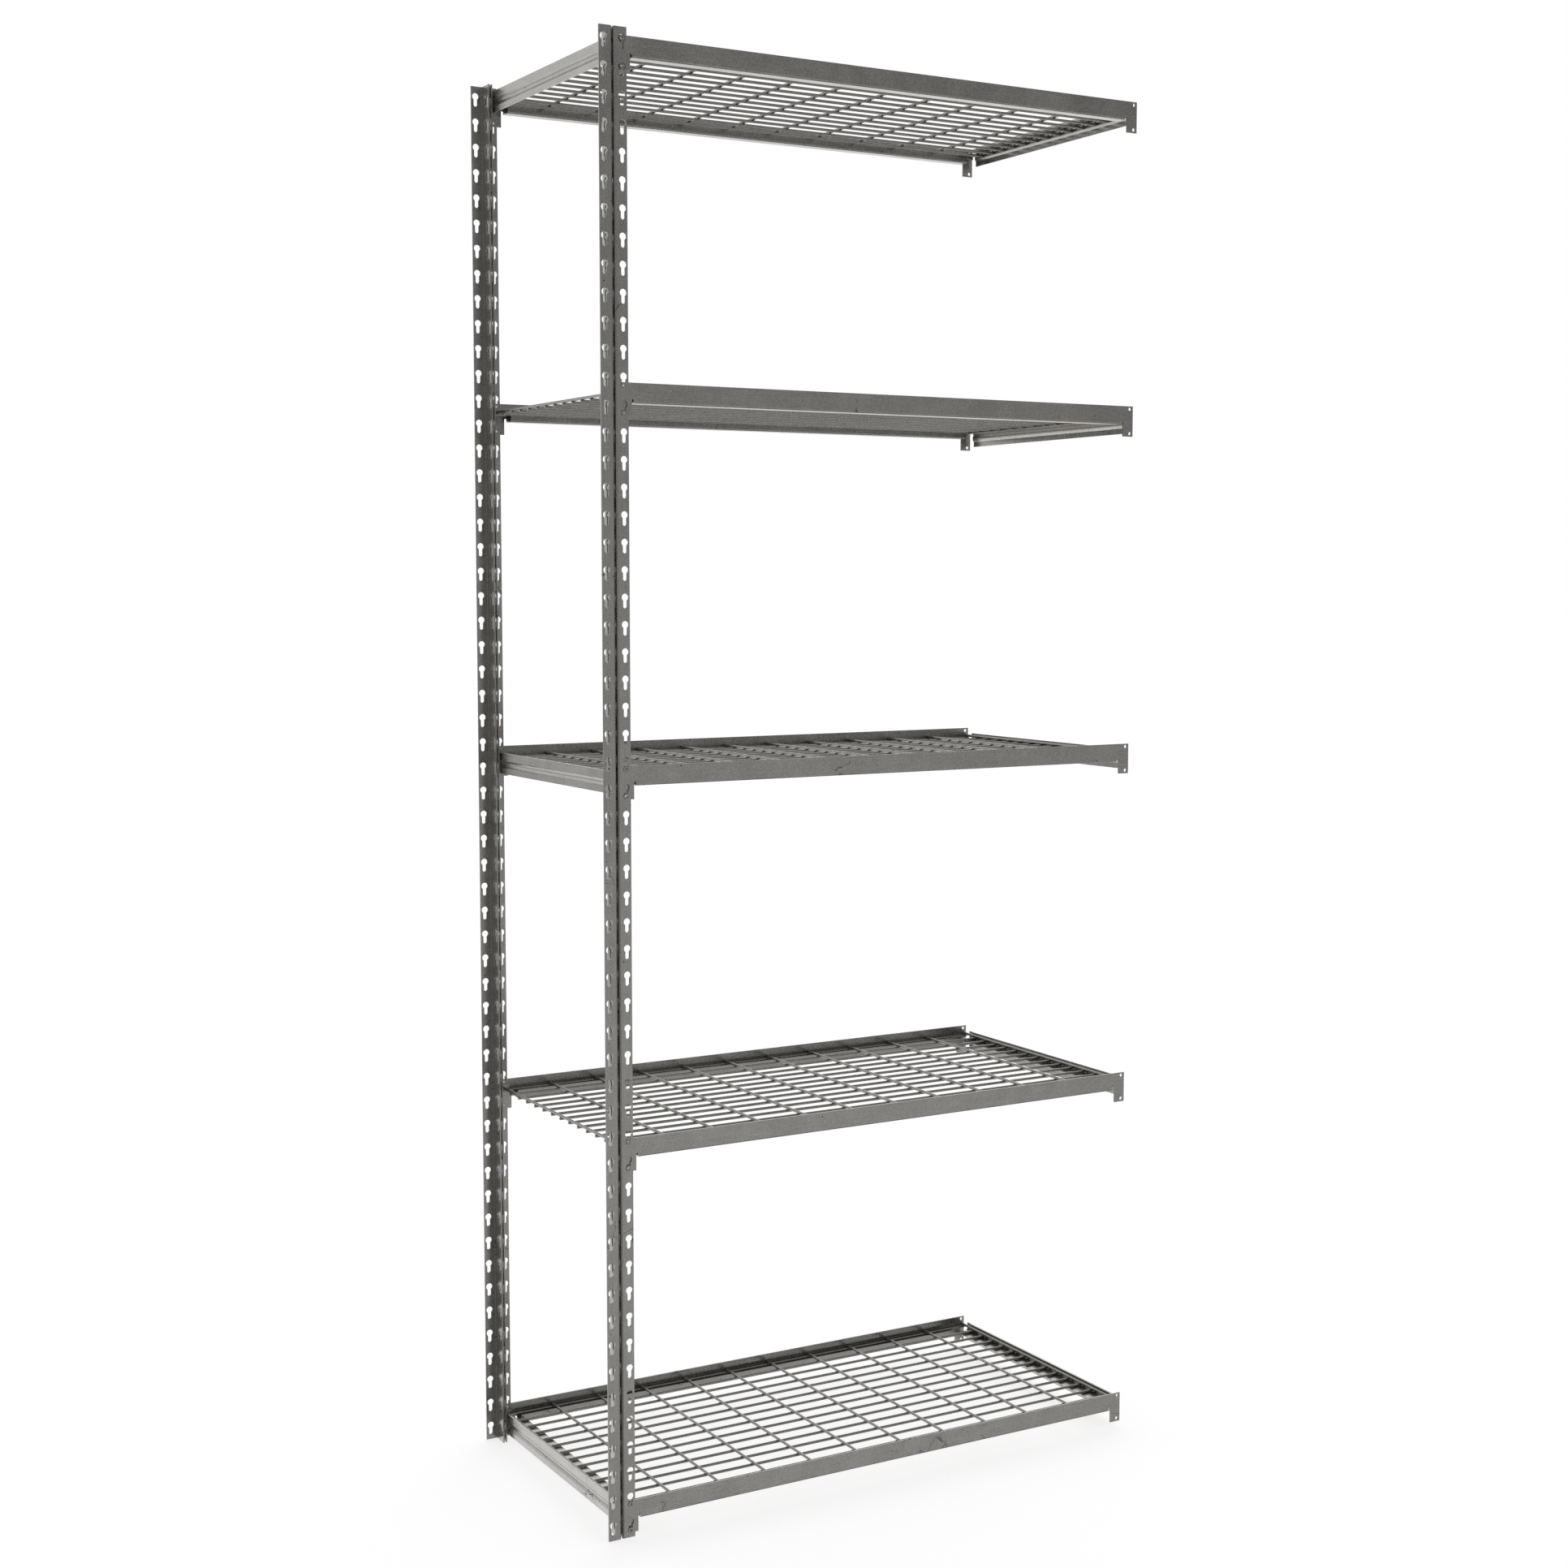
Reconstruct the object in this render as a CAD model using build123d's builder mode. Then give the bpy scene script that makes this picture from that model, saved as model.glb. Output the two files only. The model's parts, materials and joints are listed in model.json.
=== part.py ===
from build123d import *
import os
from math import sqrt

os.makedirs("parts", exist_ok=True)

# Boltless steel shelving: one add-on bay with five wire-decked shelves.
# Two T-posts stand at the left (-X); the free right-hand ends of the beams hang on the
# posts of a neighbouring bay. Every post has columns of keyholes in its flanges and stem,
# and the beams hook in them with headed rivets.
#
# Frame: millimetres, +Z up, front towards -Y. The origin is on the floor, under the
# middle of the bay's overall width and depth.

# ---------------------------------------------------------------- driving dimensions
bay_width = 914.4  # this bay's post centre line to the neighbouring bay's
bay_depth = 457.2  # over the outer faces of the front and back flanges
post_height = 2133.6
hole_pitch = 38.1

# Posts: two angles back to back, with a gap between their stems
post_sheet = 2.0
post_width = 42.0
stem_gap = 2.5
stem_depth = 28.0
bend_outside = 2.5
bend_inside = 0.5

# Keyholes: a round with a narrower slot below it
keyhole_round = 10.5
keyhole_slot = 6.0
keyhole_drop = 12.2  # round's centre to the slot's lower centre
first_row_drop = 15.1  # post top to the first round's centre
row_count = 56
flange_hole_x = 13.9  # from the post's centre line
stem_hole_y = 18.0  # from the flange's outer face

# Spacers welded in the stem gap, on the plain land between two keyhole rows
spacer_depth = 20.0
spacer_height = 14.0
spacer_edge = 1.5  # back from the stem's free edge
spacer_first_row = 4
spacer_row_step = 8
spacer_count = 7

# Shelves, top to bottom: the keyhole row that each one hangs in
shelf_rows = [1, 13, 27, 41, 55]
left_end_shelves = [1, 3, 5]  # only these have an end beam at the posts

# Long beams: a channel with a tab at each end. Heights are from the upper tab hole.
beam_sheet = 2.0
beam_end_gap = 8.0  # post centre line to the tab's end
beam_top = 4.5
beam_face = 28.5
beam_depth = 20.0
beam_lip = 12.7
tab_width = 19.2
tab_height = 47.5
tab_hole = 5.4
notch_width = 4.0
notch_height = 6.0

# End beams: a grooved web whose top is folded over and runs in to a ledge. The top shelf's
# lie over the ends of its deck; the others carry theirs.
end_sheet = 1.4
end_height = 32.5
end_standoff = 5.8  # post centre line to the web's outer face
end_inset = 14.0  # flange's outer face to the web's end
end_top = -4.5
top_shelf_end_top = 5.9
ledge_drop = 10.8
ledge_depth = 30.0
ledge_inset = 24.0
groove_drop = 11.9
groove_height = 11.4
groove_depth = 2.4
ear_top = 4.7
ear_width = 8.7
ear_round = 2.0

# Wire decks: cross wires lie on the longitudinal wires, welded at each crossing
wire = 4.4
weld_sink = 0.4
long_wire_count = 15
long_wire_pitch = 31.5
long_wire_z = -12.8
long_wire_inset = 10.2  # post centre line to the wire's end
cross_wire_count = 12
cross_wire_span = 889.0  # first to last
cross_wire_inset = 6.0  # flange's outer face to the wire's end

# Tubular rivets
rivet_shank = 5.2
rivet_bore = 4.0
rivet_head = 8.6
rivet_head_height = 1.0
rivet_edge = 0.4

# ---------------------------------------------------------------- places
overall_width = post_width / 2 + bay_width - end_standoff
post_x = (post_width - overall_width) / 2
next_post_x = post_x + bay_width
mid_x = (post_x + next_post_x) / 2
front_y = -bay_depth / 2
back_y = bay_depth / 2
half_turn = (0, 0, 180)


def round_height(row):
    """Height of a keyhole's round centre; row 1 is the top one."""
    return post_height - first_row_drop - hole_pitch * (row - 1)


# The top shelf stands in the rounds of its keyholes; the others have dropped into the slots.
shelf_heights = [round_height(shelf_rows[0])]
shelf_heights += [round_height(row) - keyhole_drop for row in shelf_rows[1:]]


def write_piece(label, shape, place):
    """Write one finished shape at its place in the bay."""
    with BuildPart() as piece:
        with Locations(place):
            add(shape)
    piece.part.label = label
    export_step(piece.part, f"parts/{label}.step")


# ---------------------------------------------------------------- post angles
def cut_keyholes(plane, across):
    """Cut a full column of keyholes, at a distance across the plane from its origin."""
    column_centre = (round_height(1) + round_height(row_count)) / 2
    with BuildSketch(plane) as column:
        with Locations((across, column_centre)):
            with GridLocations(hole_pitch, hole_pitch, 1, row_count):
                Circle(keyhole_round / 2)
                with Locations((0, -keyhole_drop / 2)):
                    SlotCenterToCenter(keyhole_drop, keyhole_slot, rotation=90)
    extrude(column.sketch, amount=2 * post_sheet, both=True, mode=Mode.SUBTRACT)


stem_face = stem_gap / 2

with BuildPart() as post_angle:
    # Section with the flange's outer face on Y = 0 and the post's centre line on X = 0
    with BuildSketch():
        with BuildLine():
            Polyline(
                (stem_face, 0),
                (post_width / 2, 0),
                (post_width / 2, post_sheet),
                (stem_face + post_sheet, post_sheet),
                (stem_face + post_sheet, stem_depth),
                (stem_face, stem_depth),
                close=True,
            )
        make_face()
        outer_corner = vertices().group_by(Axis.Y)[0].sort_by(Axis.X)[0]
        fillet(outer_corner, bend_outside)
        inner_corner = vertices().group_by(Axis.Y)[1].sort_by(Axis.X)[0]
        fillet(inner_corner, bend_inside)
    extrude(amount=post_height)
    cut_keyholes(Plane.XZ, flange_hole_x)
    cut_keyholes(Plane.YZ, stem_hole_y)

mirrored_angle = mirror(post_angle.part, about=Plane.YZ)

front_post_place = Location((post_x, front_y, 0))
back_post_place = Location((post_x, back_y, 0), half_turn)
write_piece("front_post_right_angle", post_angle.part, front_post_place)
write_piece("front_post_left_angle", mirrored_angle, front_post_place)
write_piece("back_post_right_angle", mirrored_angle, back_post_place)
write_piece("back_post_left_angle", post_angle.part, back_post_place)

# ---------------------------------------------------------------- stem spacers
# Land between a slot's lower end and the next round's top, below the given row
land_top = keyhole_drop + keyhole_slot / 2
land_bottom = hole_pitch - keyhole_round / 2
land_drop = (land_top + land_bottom) / 2

with BuildPart() as post_spacers:
    for spacer in range(spacer_count):
        spacer_z = round_height(spacer_first_row + spacer_row_step * spacer) - land_drop
        spacer_y = stem_depth - spacer_edge - spacer_depth / 2
        with Locations((0, spacer_y, spacer_z)):
            Box(stem_gap, spacer_depth, spacer_height)

write_piece("front_post_spacers", post_spacers.part, front_post_place)
write_piece("back_post_spacers", post_spacers.part, back_post_place)

# ---------------------------------------------------------------- long beams
beam_floor = beam_top - beam_face
beam_length = bay_width - 2 * beam_end_gap
channel_length = beam_length - 2 * (tab_width + notch_width)
tab_hole_x = bay_width / 2 - flange_hole_x

with BuildPart() as long_beam:
    # Channel section: Y = 0 is the face, and the lip stands up along the inner side
    with BuildSketch(Plane.YZ):
        with BuildLine():
            Polyline(
                (0, beam_top),
                (beam_sheet, beam_top),
                (beam_sheet, beam_floor + beam_sheet),
                (beam_depth - beam_sheet, beam_floor + beam_sheet),
                (beam_depth - beam_sheet, beam_floor + beam_lip),
                (beam_depth, beam_floor + beam_lip),
                (beam_depth, beam_floor),
                (0, beam_floor),
                close=True,
            )
        make_face()
        fillet(vertices().group_by(Axis.Y)[0], bend_outside)
        fillet(vertices().group_by(Axis.Y)[1], bend_inside)
    extrude(amount=channel_length / 2, both=True)
    # The face runs on past the channel, over a round-topped notch, into the end tabs
    with BuildSketch(Plane.XZ):
        for side in (-1, 1):
            tab_x = side * (beam_length - tab_width) / 2
            notch_x = side * (channel_length + notch_width) / 2
            notch_centre = beam_floor + notch_height - notch_width / 2
            with Locations((tab_x, beam_top)):
                Rectangle(tab_width, tab_height, align=(Align.CENTER, Align.MAX))
            with Locations((notch_x, beam_top)):
                Rectangle(notch_width, beam_top - notch_centre, align=(Align.CENTER, Align.MAX))
            with Locations((notch_x, notch_centre)):
                Circle(notch_width / 2, mode=Mode.SUBTRACT)
        with Locations((0, -hole_pitch / 2)):
            with GridLocations(2 * tab_hole_x, hole_pitch, 2, 2):
                Circle(tab_hole / 2, mode=Mode.SUBTRACT)
    extrude(amount=-beam_sheet)

for shelf, height in enumerate(shelf_heights, start=1):
    front_place = Location((mid_x, front_y + post_sheet, height))
    back_place = Location((mid_x, back_y - post_sheet, height), half_turn)
    write_piece(f"front_beam_{shelf}", long_beam.part, front_place)
    write_piece(f"back_beam_{shelf}", long_beam.part, back_place)

# ---------------------------------------------------------------- end beams
end_length = bay_depth - 2 * end_inset
ledge_length = bay_depth - 2 * ledge_inset
end_hole_y = bay_depth / 2 - stem_hole_y

# Groove: an arc pressed in to the web, and its parallel arc on the inside
groove_radius = (groove_height**2 / 4 + groove_depth**2) / (2 * groove_depth)
ridge_radius = groove_radius + end_sheet
ridge_half = sqrt(ridge_radius**2 - (ridge_radius - groove_depth) ** 2)


def make_end_beam(top, riveted):
    """End beam with its outer face on X = 0, its ledge towards +X, and Z = 0 at the rivets."""
    groove_z = top - groove_drop - groove_height / 2
    ledge_top = top - ledge_drop
    with BuildPart() as beam:
        with BuildSketch(Plane.XZ):
            with BuildLine():
                Line((0, top), (0, groove_z + groove_height / 2))
                ThreePointArc(
                    (0, groove_z + groove_height / 2),
                    (groove_depth, groove_z),
                    (0, groove_z - groove_height / 2),
                )
                Polyline(
                    (0, groove_z - groove_height / 2),
                    (0, top - end_height),
                    (end_sheet, top - end_height),
                    (end_sheet, groove_z - ridge_half),
                )
                ThreePointArc(
                    (end_sheet, groove_z - ridge_half),
                    (end_sheet + groove_depth, groove_z),
                    (end_sheet, groove_z + ridge_half),
                )
                Polyline((end_sheet, groove_z + ridge_half), (end_sheet, top), (0, top))
            make_face()
        extrude(amount=end_length / 2, both=True)
        # The folded-over top runs down the inside of the web and turns in as the ledge
        with BuildSketch(Plane.XZ):
            with BuildLine():
                Polyline(
                    (end_sheet, top),
                    (2 * end_sheet, top),
                    (2 * end_sheet, ledge_top),
                    (ledge_depth, ledge_top),
                    (ledge_depth, ledge_top - end_sheet),
                    (end_sheet, ledge_top - end_sheet),
                    close=True,
                )
            make_face()
        extrude(amount=ledge_length / 2, both=True)
        if riveted:
            # Where the web stays below the rivets, an ear at each end reaches up round them
            if top < ear_top:
                with BuildSketch(Plane.YZ):
                    with Locations((0, top)):
                        with GridLocations(end_length - ear_width, ear_width, 2, 1):
                            RectangleRounded(ear_width, 2 * (ear_top - top), ear_round)
                extrude(amount=end_sheet)
            with BuildSketch(Plane.YZ):
                with GridLocations(2 * end_hole_y, hole_pitch, 2, 1):
                    Circle(tab_hole / 2)
            extrude(amount=end_sheet, mode=Mode.SUBTRACT)
    return beam.part


for shelf, height in enumerate(shelf_heights, start=1):
    top = top_shelf_end_top if shelf == 1 else end_top
    right_place = Location((next_post_x - end_standoff, 0, height), half_turn)
    write_piece(f"right_end_beam_{shelf}", make_end_beam(top, riveted=False), right_place)
    if shelf in left_end_shelves:
        left_place = Location((post_x + end_standoff, 0, height))
        write_piece(f"left_end_beam_{shelf}", make_end_beam(top, riveted=True), left_place)

# ---------------------------------------------------------------- wire decks
long_wire_length = bay_width - 2 * long_wire_inset
cross_wire_length = bay_depth - 2 * cross_wire_inset
cross_wire_pitch = cross_wire_span / (cross_wire_count - 1)
cross_wire_z = long_wire_z + wire - weld_sink

with BuildPart() as wire_deck:
    with BuildSketch(Plane.YZ):
        with Locations((0, long_wire_z)):
            with GridLocations(long_wire_pitch, wire, long_wire_count, 1):
                Circle(wire / 2)
    extrude(amount=long_wire_length / 2, both=True)
    with BuildSketch(Plane.XZ):
        with Locations((0, cross_wire_z)):
            with GridLocations(cross_wire_pitch, wire, cross_wire_count, 1):
                Circle(wire / 2)
    extrude(amount=cross_wire_length / 2, both=True)

for shelf, height in enumerate(shelf_heights, start=1):
    write_piece(f"wire_deck_{shelf}", wire_deck.part, Location((mid_x, 0, height)))


# ---------------------------------------------------------------- rivets
def make_rivet(grip, shoulder_start, shoulder_end):
    """Tubular rivet along +Z: heads outside 0 and grip, and a shoulder between two heights."""
    with BuildPart() as rivet:
        Cylinder(rivet_shank / 2, grip, align=(Align.CENTER, Align.CENTER, Align.MIN))
        for head_z in (-rivet_head_height, grip):
            with Locations((0, 0, head_z)):
                Cylinder(
                    rivet_head / 2, rivet_head_height, align=(Align.CENTER, Align.CENTER, Align.MIN)
                )
        if shoulder_end > shoulder_start:
            with Locations((0, 0, shoulder_start)):
                Cylinder(
                    rivet_head / 2,
                    shoulder_end - shoulder_start,
                    align=(Align.CENTER, Align.CENTER, Align.MIN),
                )
        Hole(rivet_bore / 2)
        rims = edges().filter_by(GeomType.CIRCLE).group_by(Axis.Z)
        fillet([rims[0].sort_by(SortBy.RADIUS)[-1], rims[-1].sort_by(SortBy.RADIUS)[-1]], rivet_edge)
    return rivet.part


def write_rivets(label, rivet, places):
    """Write a group of equal rivets, each one a separate solid."""
    with BuildPart() as group:
        for place in places:
            with Locations(place):
                add(rivet)
    group.part.label = label
    export_step(group.part, f"parts/{label}.step")


beam_rivet = make_rivet(post_sheet + beam_sheet, 0, 0)
along_depth = (-90, 0, 0)  # turns the rivet's axis to +Y
for row_name, outer_y in (("front", front_y), ("back", back_y - post_sheet - beam_sheet)):
    beam_rivet_places = [
        Location((post_x + flange_hole_x, outer_y, height - drop), along_depth)
        for height in shelf_heights
        for drop in (0, hole_pitch)
    ]
    write_rivets(f"{row_name}_beam_rivets", beam_rivet, beam_rivet_places)

# The end beams stand off the stem, so their rivets have a shoulder in between
stem_half = stem_face + post_sheet
end_rivet = make_rivet(stem_half + end_standoff + end_sheet, 2 * stem_half, stem_half + end_standoff)
along_width = (0, 90, 0)  # turns the rivet's axis to +X
end_rivet_places = [
    Location((post_x - stem_half, side * end_hole_y, shelf_heights[shelf - 1]), along_width)
    for shelf in left_end_shelves
    for side in (-1, 1)
]
write_rivets("left_end_beam_rivets", end_rivet, end_rivet_places)
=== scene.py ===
import json
import math

import bpy
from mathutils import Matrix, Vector


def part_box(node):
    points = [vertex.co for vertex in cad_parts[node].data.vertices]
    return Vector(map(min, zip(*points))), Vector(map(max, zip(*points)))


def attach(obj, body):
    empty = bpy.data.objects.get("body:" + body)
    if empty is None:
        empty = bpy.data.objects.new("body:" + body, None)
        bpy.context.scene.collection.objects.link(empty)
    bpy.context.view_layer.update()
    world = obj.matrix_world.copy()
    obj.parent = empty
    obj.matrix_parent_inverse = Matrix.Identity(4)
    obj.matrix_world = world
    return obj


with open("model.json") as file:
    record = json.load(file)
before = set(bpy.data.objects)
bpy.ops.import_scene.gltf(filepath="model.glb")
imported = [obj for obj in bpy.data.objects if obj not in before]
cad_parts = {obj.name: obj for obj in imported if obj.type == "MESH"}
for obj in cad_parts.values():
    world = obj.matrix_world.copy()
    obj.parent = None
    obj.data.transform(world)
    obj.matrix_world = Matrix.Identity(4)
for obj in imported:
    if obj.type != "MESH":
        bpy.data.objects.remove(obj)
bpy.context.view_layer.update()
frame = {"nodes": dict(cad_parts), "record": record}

MM = 0.001


# ---------------------------------------------------------------- node helpers
class Graph:
    """A short way to add nodes and wires to one node tree."""

    def __init__(self, tree):
        self.tree = tree
        self.tree.nodes.clear()

    def add(self, kind, settings=None, **inputs):
        """Add a node. settings are its properties; inputs are values or sockets, by name."""
        node = self.tree.nodes.new(kind)
        for name, value in (settings or {}).items():
            setattr(node, name, value)
        for name, value in inputs.items():
            self.feed(node.inputs[name.replace("_", " ")], value)
        return node

    def feed(self, socket, value):
        """Set a socket to a value, or wire another node's output socket to it."""
        if isinstance(value, bpy.types.NodeSocket):
            self.tree.links.new(value, socket)
        else:
            socket.default_value = value

    def maths(self, operation, first, second=0.0, clamp=False):
        """One maths node's result."""
        node = self.add("ShaderNodeMath", {"operation": operation, "use_clamp": clamp})
        self.feed(node.inputs[0], first)
        self.feed(node.inputs[1], second)
        return node.outputs[0]

    def fade(self, value, low, high, to_low=0.0, to_high=1.0):
        """A smooth step of a value from to_low at low to to_high at high."""
        node = self.add("ShaderNodeMapRange", {"interpolation_type": "SMOOTHSTEP"})
        for name, number in (
            ("Value", value),
            ("From Min", low),
            ("From Max", high),
            ("To Min", to_low),
            ("To Max", to_high),
        ):
            self.feed(node.inputs[name], number)
        return node.outputs["Result"]

    def noise(self, place, scale, detail=3.0, roughness=0.5):
        """Noise with so many cells to the metre."""
        node = self.add("ShaderNodeTexNoise", Vector=place, Scale=scale, Detail=detail)
        node.inputs["Roughness"].default_value = roughness
        return node.outputs["Fac"]

    def blend_colour(self, share, first, second):
        """Two colours mixed by a share."""
        node = self.add("ShaderNodeMix", {"data_type": "RGBA", "blend_type": "MIX"})
        self.feed(node.inputs["Factor"], share)
        self.feed(node.inputs["A"], first)
        self.feed(node.inputs["B"], second)
        return node.outputs["Result"]


def grey(level, warmth=0.0):
    """A grey, a little yellower as warmth grows."""
    return (level * (1 + warmth), level, level * (1 - 1.6 * warmth), 1.0)


# ---------------------------------------------------------------- steel finishes
# Noise scales, in cells to the metre
SPECKLE_SCALE = 1400.0
GRAIN_SCALE = 420.0
BLOTCH_SCALE = 38.0
CLOUD_SCALE = 9.0
SPECK_SCALE = 85.0
SCUFF_SCALE = 9.0
SCUFF_BEND = 0.16
WARMTH = 0.03
DIRT_TONE = 0.22
WORN_TONE = 1.4
WORN_SHARE = 0.15
EDGE_RADIUS = 0.5 * MM
METALLIC = 0.9
BUMP_STRENGTH = 0.25
BUMP_DISTANCE = 0.12 * MM


def steel(name, level, roughness, drawn_along=None, marks=1.0):
    """Grey coated steel: fine speckle, cloudy tone, roll or drawing lines, and a few dark marks."""
    material = bpy.data.materials.new(name)
    material.use_nodes = True
    graph = Graph(material.node_tree)
    place = graph.add("ShaderNodeTexCoord").outputs["Object"]

    speckle = graph.noise(place, SPECKLE_SCALE, detail=2.0, roughness=0.7)
    grain = graph.noise(place, GRAIN_SCALE, detail=3.0, roughness=0.65)
    cloud = graph.noise(place, CLOUD_SCALE, detail=4.0, roughness=0.6)
    blotch = graph.noise(place, BLOTCH_SCALE, detail=3.0, roughness=0.55)

    tone = graph.fade(grain, 0.3, 0.7, 0.8, 1.2)
    tone = graph.maths("MULTIPLY", tone, graph.fade(speckle, 0.3, 0.72, 0.82, 1.18))
    tone = graph.maths("MULTIPLY", tone, graph.fade(cloud, 0.3, 0.7, 0.93, 1.07))
    tone = graph.maths("MULTIPLY", tone, graph.fade(blotch, 0.35, 0.7, 0.96, 1.04))
    if drawn_along:
        stretch = graph.add("ShaderNodeMapping", Vector=place)
        stretch.inputs["Scale"].default_value = drawn_along
        lines = graph.noise(stretch.outputs["Vector"], 1.0, detail=3.0, roughness=0.6)
        tone = graph.maths("MULTIPLY", tone, graph.fade(lines, 0.3, 0.7, 0.93, 1.07))

    # Sparse specks, a millimetre or two across
    cells = graph.add("ShaderNodeTexVoronoi", {"feature": "F1"}, Vector=place, Scale=SPECK_SCALE)
    speck_size = graph.fade(cells.outputs["Distance"], 0.06, 0.13, 1.0, 0.0)
    chance = graph.add("ShaderNodeSeparateColor", Color=cells.outputs["Color"]).outputs[0]
    specks = graph.maths("MULTIPLY", speck_size, graph.fade(chance, 0.9, 0.93))

    # Thin wandering scuffs: the edges of large bent cells, shown only here and there
    bent = graph.add("ShaderNodeTexNoise", Vector=place, Scale=14.0, Detail=3.0)
    bent_place = graph.add("ShaderNodeMix", {"data_type": "VECTOR"})
    bent_place.inputs["Factor"].default_value = SCUFF_BEND
    graph.feed(bent_place.inputs["A"], place)
    graph.feed(bent_place.inputs["B"], bent.outputs["Color"])
    webs = graph.add("ShaderNodeTexVoronoi", {"feature": "DISTANCE_TO_EDGE"}, Scale=SCUFF_SCALE)
    graph.feed(webs.inputs["Vector"], bent_place.outputs["Result"])
    scuff_line = graph.fade(webs.outputs["Distance"], 0.002, 0.009, 1.0, 0.0)
    scuff_where = graph.fade(graph.noise(place, 11.0, detail=2.0), 0.6, 0.66)
    scuffs = graph.maths("MULTIPLY", scuff_line, scuff_where)
    dirt = graph.maths("MAXIMUM", specks, graph.maths("MULTIPLY", scuffs, 0.75))
    dirt = graph.maths("MULTIPLY", dirt, marks, clamp=True)

    # Worn edges show a little brighter, where a rounded normal leaves the flat one
    flat = graph.add("ShaderNodeNewGeometry").outputs["Normal"]
    rounded = graph.add("ShaderNodeBevel", {"samples": 4}, Radius=EDGE_RADIUS)
    facing = graph.add("ShaderNodeVectorMath", {"operation": "DOT_PRODUCT"})
    graph.feed(facing.inputs[0], flat)
    graph.feed(facing.inputs[1], rounded.outputs["Normal"])
    worn = graph.fade(facing.outputs["Value"], 0.8, 0.99, 1.0, 0.0)
    worn = graph.maths("MULTIPLY", worn, graph.fade(blotch, 0.4, 0.62, 0.25, 1.0))

    base = graph.add("ShaderNodeVectorMath", {"operation": "SCALE"})
    base.inputs[0].default_value = grey(level, WARMTH)[:3]
    graph.feed(base.inputs["Scale"], tone)
    colour = graph.blend_colour(dirt, base.outputs["Vector"], grey(level * DIRT_TONE, WARMTH))
    colour = graph.blend_colour(
        graph.maths("MULTIPLY", worn, WORN_SHARE), colour, grey(min(1.0, level * WORN_TONE), 0.02)
    )

    gloss = graph.fade(cloud, 0.3, 0.7, roughness - 0.05, roughness + 0.05)
    gloss = graph.maths("ADD", gloss, graph.fade(grain, 0.3, 0.7, -0.04, 0.04))
    gloss = graph.maths("ADD", gloss, graph.maths("MULTIPLY", dirt, 0.25), clamp=True)

    height = graph.maths("ADD", graph.maths("MULTIPLY", speckle, 0.5), grain)
    height = graph.maths("SUBTRACT", height, graph.maths("MULTIPLY", dirt, 0.6))
    relief = graph.add("ShaderNodeBump", Height=height, Normal=rounded.outputs["Normal"])
    relief.inputs["Strength"].default_value = BUMP_STRENGTH
    relief.inputs["Distance"].default_value = BUMP_DISTANCE

    shader = graph.add("ShaderNodeBsdfPrincipled")
    shader.inputs["Metallic"].default_value = METALLIC
    graph.feed(shader.inputs["Base Color"], colour)
    graph.feed(shader.inputs["Roughness"], gloss)
    graph.feed(shader.inputs["Normal"], relief.outputs["Normal"])
    out = graph.add("ShaderNodeOutputMaterial")
    graph.feed(out.inputs["Surface"], shader.outputs["BSDF"])
    return material


finishes = {
    "post_steel": steel("post_steel_speckled", 0.42, 0.28, drawn_along=(900.0, 900.0, 12.0)),
    "beam_steel": steel("beam_steel_speckled", 0.42, 0.28, drawn_along=(12.0, 900.0, 900.0)),
    "end_beam_steel": steel("end_beam_steel_rolled", 0.44, 0.24, drawn_along=(900.0, 12.0, 900.0)),
    "wire_steel": steel("wire_steel_drawn", 0.38, 0.26, marks=0.4),
    "rivet_steel": steel("rivet_steel_pressed", 0.40, 0.28, marks=0.3),
}

slots = {row["node"]: row["material_slot"] for row in frame["record"]["subparts"]}
for node, obj in frame["nodes"].items():
    obj.data.materials.clear()
    obj.data.materials.append(finishes[slots[node]])


# ---------------------------------------------------------------- weld flash on the decks
WIRE = 4.4 * MM
CROSS_COUNT = 12
LONG_COUNT = 15
LONG_SPAN = 441.0 * MM
CROSS_SPAN = 889.0 * MM
WELD_SINK = 0.4 * MM
FLASH_WIDTH = 2.7 * MM
FLASH_HEIGHT = 0.6 * MM
RING_POINTS = 14
RING_SLOPES = (-60, -30, 0, 30, 60)
LOBES = 3
LOBE_DEPTH = 0.1


def flash_blob(centre, turn):
    """Vertices and faces of one flat, slightly lobed blob of squeezed-out metal."""
    verts = [centre + Vector((0, 0, -FLASH_HEIGHT))]
    for slope in RING_SLOPES:
        for step in range(RING_POINTS):
            angle = 2 * math.pi * step / RING_POINTS
            lobe = 1 + LOBE_DEPTH * math.sin(LOBES * angle + turn)
            reach = FLASH_WIDTH * math.cos(math.radians(slope)) * lobe
            rise = FLASH_HEIGHT * math.sin(math.radians(slope))
            verts.append(centre + Vector((reach * math.cos(angle), reach * math.sin(angle), rise)))
    verts.append(centre + Vector((0, 0, FLASH_HEIGHT)))
    faces = []
    top = len(verts) - 1
    for step in range(RING_POINTS):
        after = (step + 1) % RING_POINTS
        faces.append((0, 1 + after, 1 + step))
        for ring in range(len(RING_SLOPES) - 1):
            start = 1 + ring * RING_POINTS
            faces.append(
                (start + step, start + after, start + RING_POINTS + after, start + RING_POINTS + step)
            )
        last = top - RING_POINTS
        faces.append((last + step, last + after, top))
    return verts, faces


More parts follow.
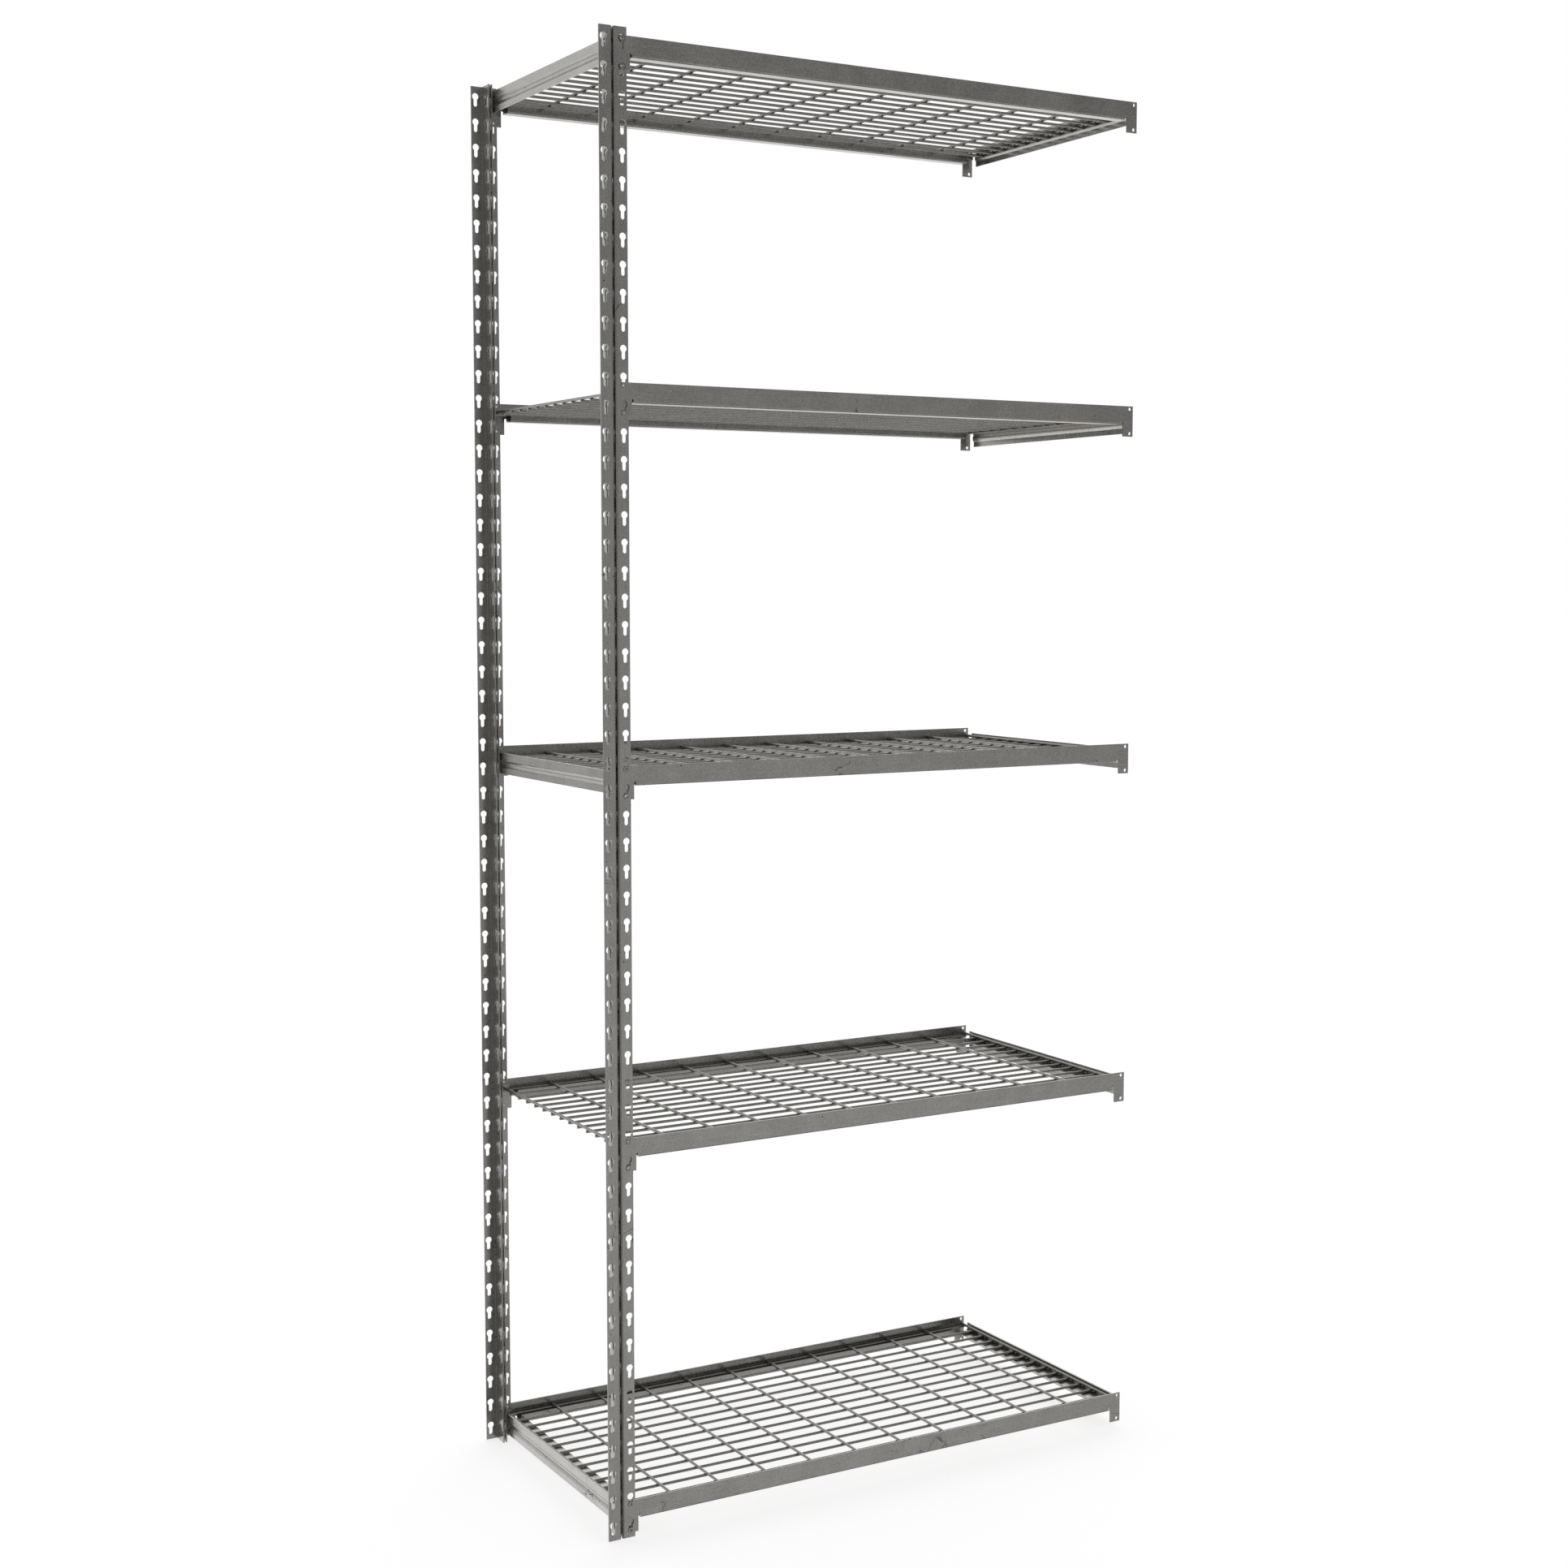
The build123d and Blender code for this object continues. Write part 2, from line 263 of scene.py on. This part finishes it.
def weld_flash(body, node):
    """The metal squeezed out round each crossing of a deck's wires, as one mesh."""
    low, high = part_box(node)
    centre = (low + high) / 2
    joint_z = low.z + WIRE - WELD_SINK / 2
    verts = []
    faces = []
    for i in range(CROSS_COUNT):
        for j in range(LONG_COUNT):
            x = centre.x + CROSS_SPAN * (i / (CROSS_COUNT - 1) - 0.5)
            y = centre.y + LONG_SPAN * (j / (LONG_COUNT - 1) - 0.5)
            blob_verts, blob_faces = flash_blob(Vector((x, y, joint_z)), 1.7 * i + 2.3 * j)
            faces += [tuple(corner + len(verts) for corner in face) for face in blob_faces]
            verts += blob_verts
    mesh = bpy.data.meshes.new(f"{node}_weld_flash")
    mesh.from_pydata(verts, [], faces)
    for face in mesh.polygons:
        face.use_smooth = True
    piece = bpy.data.objects.new(f"{node}_weld_flash", mesh)
    bpy.context.scene.collection.objects.link(piece)
    mesh.materials.append(finishes["wire_steel"])
    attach(piece, body)


for body, members in frame["record"]["behaviour"]["bodies"].items():
    for node in members:
        if node.startswith("wire_deck"):
            weld_flash(body, node)

# ---------------------------------------------------------------- stage
FLOOR_HALF = 60.0
FLOOR_DROP = 0.5 * MM
PAPER_LEVEL = 0.8
PAPER_GLOW = 0.72

floor_mesh = bpy.data.meshes.new("floor")
floor_mesh.from_pydata(
    [(x * FLOOR_HALF, y * FLOOR_HALF, 0) for x, y in ((-1, -1), (1, -1), (1, 1), (-1, 1))],
    [],
    [(0, 1, 2, 3)],
)
floor = bpy.data.objects.new("floor", floor_mesh)
bpy.context.scene.collection.objects.link(floor)
floor.location.z = -FLOOR_DROP
# Only the camera sees the floor, so the steel is lit by the plain studio around it
floor.visible_glossy = False
floor.visible_diffuse = False
floor.visible_shadow = False

paper = bpy.data.materials.new("floor_paper")
paper.use_nodes = True
graph = Graph(paper.node_tree)
diffuse = graph.add("ShaderNodeBsdfDiffuse", Color=grey(PAPER_LEVEL))
glow = graph.add("ShaderNodeEmission", Color=grey(1.0), Strength=PAPER_GLOW)
both = graph.add("ShaderNodeAddShader")
graph.feed(both.inputs[0], diffuse.outputs[0])
graph.feed(both.inputs[1], glow.outputs[0])
out = graph.add("ShaderNodeOutputMaterial")
graph.feed(out.inputs["Surface"], both.outputs[0])
floor_mesh.materials.append(paper)

# The studio: soft round panels, each by the way to it from the shelving, over a dim room.
# Azimuth is in degrees from the back towards the right; width is the panel's half angle.
ROOM_LIGHT = 0.1
panels = [
    # name, azimuth, elevation, width, strength
    ("back_left_low", -30, -30, 28, 1),
    ("back_left_level", -30, -8, 24, 0.15),
    ("back_left_raised", -30, 13, 24, 0.8),
    ("back_left_high", -30, 34, 28, 0.2),
    ("back_low", 2, -28, 28, 0.35),
    ("back_level", 2, -2, 26, 0.4),
    ("back_high", 2, 26, 28, 0.2),
    ("back_right_low", 36, -28, 28, 0.75),
    ("back_right_level", 36, -4, 26, 0.7),
    ("back_right_raised", 36, 20, 26, 1),
    ("back_right_high", 36, 44, 28, 0.6),
    ("front_right_low", 148, -28, 26, 0.35),
    ("front_right_level", 148, -8, 24, 0.3),
    ("front_right_raised", 148, 12, 24, 0.05),
    ("front_right_high", 148, 36, 28, 0.25),
    ("front", 185, 0, 45, 0.15),
    ("left_low", -85, -22, 40, 0.2),
    ("left_raised", -85, 22, 40, 0.25),
    ("front_left", -135, 0, 45, 0.2),
    ("right_low", 90, -22, 40, 0.4),
    ("right_raised", 90, 22, 40, 0.35),
    ("overhead", 0, 90, 50, 0.2),
    ("floor_bounce", 0, -90, 60, 0.3),
]
world = bpy.data.worlds.new("studio")
bpy.context.scene.world = world
world.use_nodes = True
graph = Graph(world.node_tree)
way = graph.add("ShaderNodeTexCoord").outputs["Generated"]
light = ROOM_LIGHT
for _, azimuth, elevation, width, strength in panels:
    around, up = math.radians(azimuth), math.radians(elevation)
    towards = (math.sin(around) * math.cos(up), math.cos(around) * math.cos(up), math.sin(up))
    facing = graph.add("ShaderNodeVectorMath", {"operation": "DOT_PRODUCT"})
    facing.inputs[0].default_value = towards
    graph.feed(facing.inputs[1], way)
    glow = graph.fade(facing.outputs["Value"], math.cos(math.radians(width)), 1.0, 0.0, strength)
    light = graph.maths("ADD", glow, light)
studio = graph.add("ShaderNodeBackground", Color=grey(1.0), Strength=light)
backdrop = graph.add("ShaderNodeBackground", Color=grey(1.0), Strength=1.0)
seen = graph.add("ShaderNodeLightPath").outputs["Is Camera Ray"]
choice = graph.add("ShaderNodeMixShader")
graph.feed(choice.inputs[0], seen)
graph.feed(choice.inputs[1], studio.outputs[0])
graph.feed(choice.inputs[2], backdrop.outputs[0])
out = graph.add("ShaderNodeOutputWorld")
graph.feed(out.inputs["Surface"], choice.outputs[0])

# ---------------------------------------------------------------- camera
SENSOR_WIDTH = 36.0
LENS = 52.51
CAMERA_PLACE = (-1.8352, -3.1150, 1.3803)
CAMERA_TILT = 84.91
CAMERA_TURN = -29.92

camera_data = bpy.data.cameras.new("camera")
camera_data.sensor_width = SENSOR_WIDTH
camera_data.lens = LENS
camera = bpy.data.objects.new("camera", camera_data)
camera.location = CAMERA_PLACE
camera.rotation_euler = (math.radians(CAMERA_TILT), 0.0, math.radians(CAMERA_TURN))
bpy.context.scene.collection.objects.link(camera)
bpy.context.scene.camera = camera
bpy.context.scene.view_settings.view_transform = "Standard"
